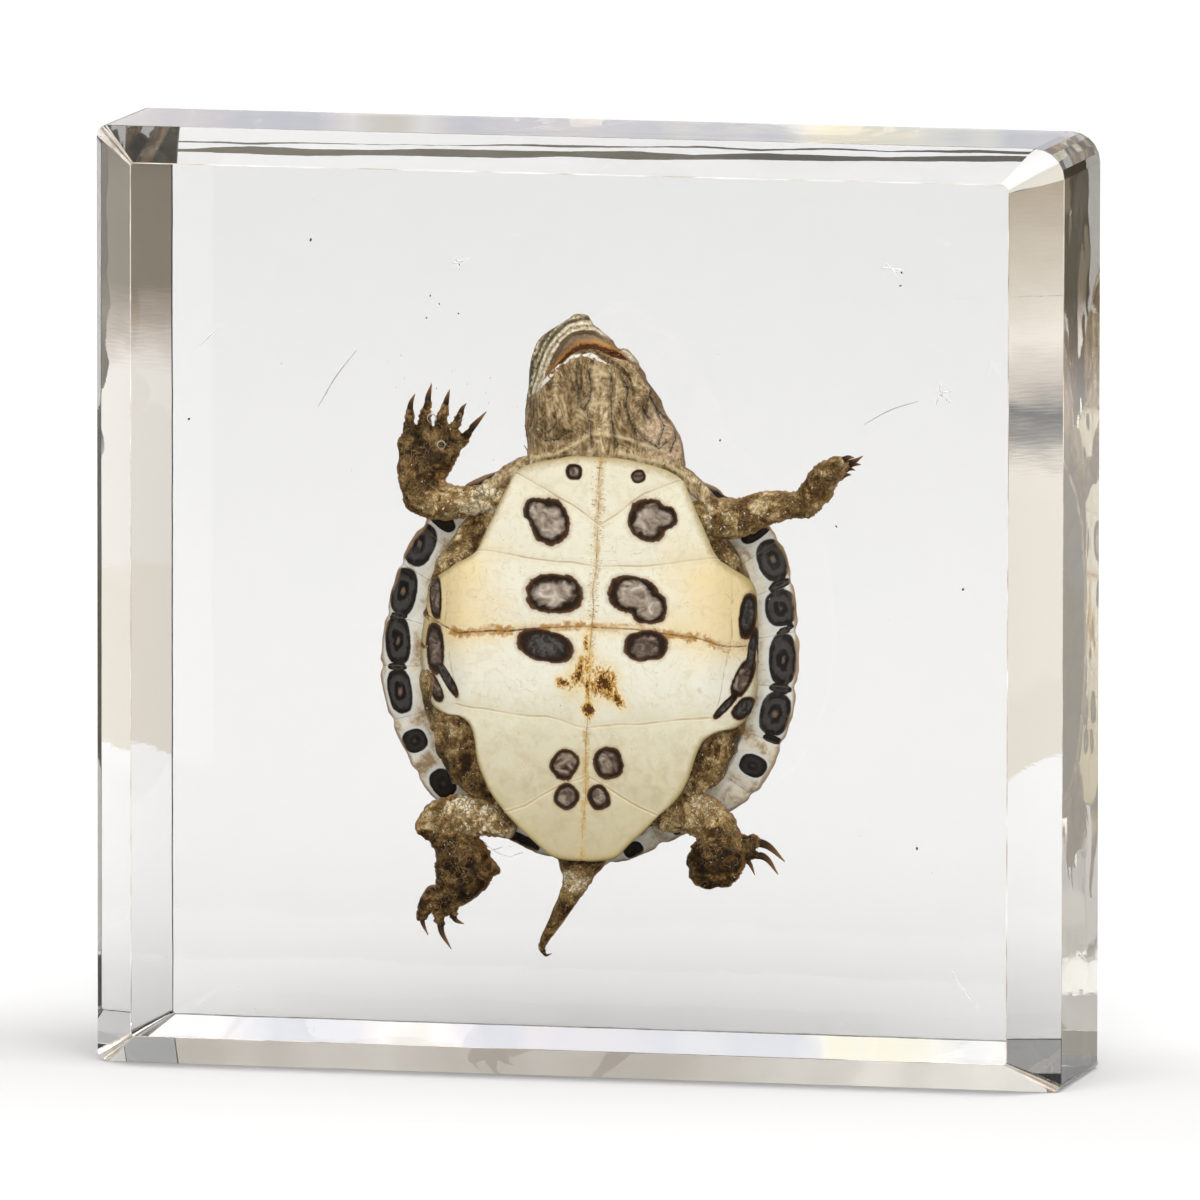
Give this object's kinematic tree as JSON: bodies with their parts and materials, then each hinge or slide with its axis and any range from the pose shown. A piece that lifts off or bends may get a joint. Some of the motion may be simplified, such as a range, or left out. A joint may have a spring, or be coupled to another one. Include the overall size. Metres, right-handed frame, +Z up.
{
  "type": "turtle in resin block",
  "caption": "Dry hatchling turtle sealed belly-forward in a clear, bevelled resin block that stands on its narrow foot.",
  "frame": {"origin": "middle of the block's foot, the flat face that it stands on", "axes": "+X along the block's width to the viewer's right, -Y out of the front face that shows the turtle's belly, +Z up"},
  "size_m": [0.075, 0.02, 0.0716],
  "materials": {
    "clear_resin": "clear and polished",
    "dark_shell": "satin horn",
    "cream_shell": "satin horn",
    "dry_skin": "dry and wrinkled"
  },
  "bodies": {
    "root": {"block_front": "clear_resin", "block_back": "clear_resin", "carapace": "dark_shell", "plastron": "cream_shell", "body": "dry_skin", "head": "dry_skin", "front_leg_left": "dry_skin", "front_leg_right": "dry_skin", "hind_leg_left": "dry_skin", "hind_leg_right": "dry_skin", "tail": "dry_skin"}
  },
  "joints": []
}
